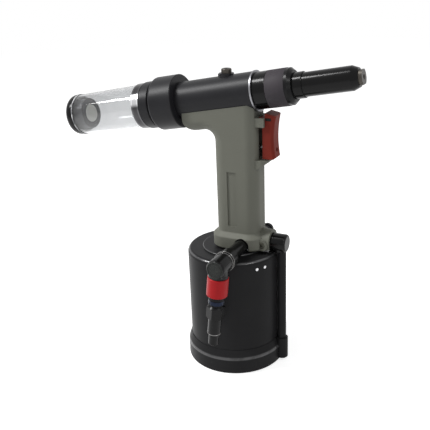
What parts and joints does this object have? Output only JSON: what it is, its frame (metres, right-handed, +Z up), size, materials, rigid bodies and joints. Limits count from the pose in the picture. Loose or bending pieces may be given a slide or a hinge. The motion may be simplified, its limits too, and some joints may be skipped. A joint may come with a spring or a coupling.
{
  "type": "pneumatic riveter",
  "caption": "Hydro-pneumatic blind riveter: air cylinder base, pistol grip with trigger, tilted pulling head, clear mandrel bottle and swivelling air inlet.",
  "frame": {"origin": "centre of the base's underside, on the surface that the tool stands on", "axes": "+X points the way the nose points, seen from above; -Y is the side of the air inlet; +Z is up"},
  "size_m": [0.3304, 0.14, 0.3252],
  "materials": {
    "black_enamel": "satin black enamel",
    "rubber": "matte rubber",
    "shell_plastic": "grey olive moulding",
    "trigger_plastic": "brick red moulding",
    "red_anodised": "red anodised",
    "barrel_black": "blue-black anodised",
    "grip_grey": "matte grey anodised",
    "gloss_black": "blackened, polished",
    "dark_steel": "browned steel",
    "bright_steel": "bright steel",
    "hard_steel": "hardened steel",
    "light_alloy": "machined alloy",
    "brass": "machined brass",
    "clear": "clear moulding",
    "nylon": "black nylon",
    "filter_grey": "porous grey disc"
  },
  "bodies": {
    "housing": {"base_cap": "black_enamel", "base_pad": "rubber", "air_cylinder": "black_enamel", "cylinder_studs": "bright_steel", "bump_ring": "rubber", "ram_gland": "brass", "gland_seal": "rubber", "handle_core": "light_alloy", "handle_shell": "shell_plastic", "handle_screw": "dark_steel", "valve_block": "light_alloy", "valve_elbow": "black_enamel", "transfer_tube": "black_enamel", "pilot_tube": "nylon", "exhaust_muffler": "nylon", "trigger_valve": "brass", "trigger_pin": "bright_steel", "inlet_stub": "black_enamel", "head_body": "barrel_black", "bleed_screw": "dark_steel", "front_gland": "brass", "rear_plug": "light_alloy", "face_ring": "bright_steel", "front_cap": "barrel_black", "grip_sleeve": "grip_grey", "nose_ring": "barrel_black", "nose_housing": "gloss_black", "nosepiece": "dark_steel", "rear_collar": "barrel_black"},
    "air_piston": {"air_piston": "light_alloy", "piston_seal": "rubber", "ram_rod": "bright_steel", "ram_nut": "bright_steel"},
    "pull_piston": {"pull_piston": "bright_steel", "pull_piston_seal": "rubber", "mandrel_tube": "bright_steel", "jaw_case": "hard_steel", "jaw_spring": "bright_steel"},
    "jaw_pusher": {"jaw_pusher": "hard_steel"},
    "jaw_1": {"jaw_1": "hard_steel"},
    "jaw_2": {"jaw_2": "hard_steel"},
    "jaw_3": {"jaw_3": "hard_steel"},
    "trigger": {"trigger": "trigger_plastic", "trigger_screw": "dark_steel"},
    "valve_rod": {"valve_rod": "bright_steel"},
    "valve_spool": {"valve_spool": "light_alloy"},
    "twist_ring": {"twist_ring": "barrel_black"},
    "collector": {"collector_bottle": "clear", "bottle_ring": "bright_steel", "bottle_end_cap": "gloss_black", "end_cap_filter": "filter_grey"},
    "inlet_leg": {"inlet_elbow": "black_enamel", "leg_tube": "black_enamel", "coupling_nut": "black_enamel", "hose_tail": "black_enamel"},
    "shutoff_sleeve": {"shutoff_sleeve": "red_anodised"},
    "coupling_ring": {"coupling_ring": "light_alloy"}
  },
  "joints": [
    {"name": "air_piston_stroke", "type": "slide", "parent": "housing", "child": "air_piston", "axis": [0, 0, 1], "range_m": [0, 0.078]},
    {"name": "pull_stroke", "type": "slide", "parent": "housing", "child": "pull_piston", "axis": [-0.9856, 0, -0.1693], "range_m": [0, 0.02]},
    {"name": "pusher_slide", "type": "slide", "parent": "pull_piston", "child": "jaw_pusher", "axis": [0.9856, 0, 0.1693], "range_m": [0, 0.00205]},
    {"name": "jaw_1_slide", "type": "slide", "parent": "pull_piston", "child": "jaw_1", "axis": [1, 0, -0.0044], "range_m": [0, 0.00205]},
    {"name": "jaw_2_slide", "type": "slide", "parent": "pull_piston", "child": "jaw_2", "axis": [0.9559, 0.1504, 0.2523], "range_m": [0, 0.00205]},
    {"name": "jaw_3_slide", "type": "slide", "parent": "pull_piston", "child": "jaw_3", "axis": [0.9559, -0.1504, 0.2523], "range_m": [0, 0.00205]},
    {"name": "trigger_pull", "type": "hinge", "parent": "housing", "child": "trigger", "pos_m": [0.037, 0, 0.2685], "axis": [0, 1, 0], "range_deg": [0, 6], "stiffness_Nm_per_rad": 0.5, "springref_deg": -5.73},
    {"name": "valve_rod_slide", "type": "slide", "parent": "housing", "child": "valve_rod", "axis": [-1, 0, 0], "range_m": [0, 0.00305]},
    {"name": "valve_spool_slide", "type": "slide", "parent": "housing", "child": "valve_spool", "axis": [1, 0, 0], "range_m": [0, 0.0031]},
    {"name": "twist_ring_turn", "type": "hinge", "parent": "housing", "child": "twist_ring", "pos_m": [-0.08821, 0, 0.27709], "axis": [0.9856, 0, 0.1693], "range_deg": [0, 60]},
    {"name": "bottle_pull", "type": "slide", "parent": "housing", "child": "collector", "axis": [-0.9856, 0, -0.1693], "range_m": [0, 0.012]},
    {"name": "inlet_swivel", "type": "hinge", "parent": "housing", "child": "inlet_leg", "pos_m": [0.0185, -0.0755, 0.1389], "axis": [0, 1, 0], "continuous": true},
    {"name": "shutoff_slide", "type": "slide", "parent": "inlet_leg", "child": "shutoff_sleeve", "axis": [-0.1097, 0, -0.994], "range_m": [0, 0.003]},
    {"name": "coupling_ring_push", "type": "slide", "parent": "inlet_leg", "child": "coupling_ring", "axis": [-0.1097, 0, -0.994], "range_m": [0, 0.0025], "stiffness_N_per_m": 600, "springref_m": -0.002}
  ],
  "couplings": [
    {"joint": "pull_stroke", "follows": "air_piston_stroke", "ratio": 0.25521},
    {"joint": "pusher_slide", "follows": "air_piston_stroke", "ratio": 0.025251},
    {"joint": "jaw_1_slide", "follows": "air_piston_stroke", "ratio": 0.025641},
    {"joint": "jaw_2_slide", "follows": "air_piston_stroke", "ratio": 0.025641},
    {"joint": "jaw_3_slide", "follows": "air_piston_stroke", "ratio": 0.025641},
    {"joint": "valve_rod_slide", "follows": "trigger_pull", "m_per_rad": 0.0285},
    {"joint": "valve_spool_slide", "follows": "trigger_pull", "m_per_rad": 0.028648}
  ]
}
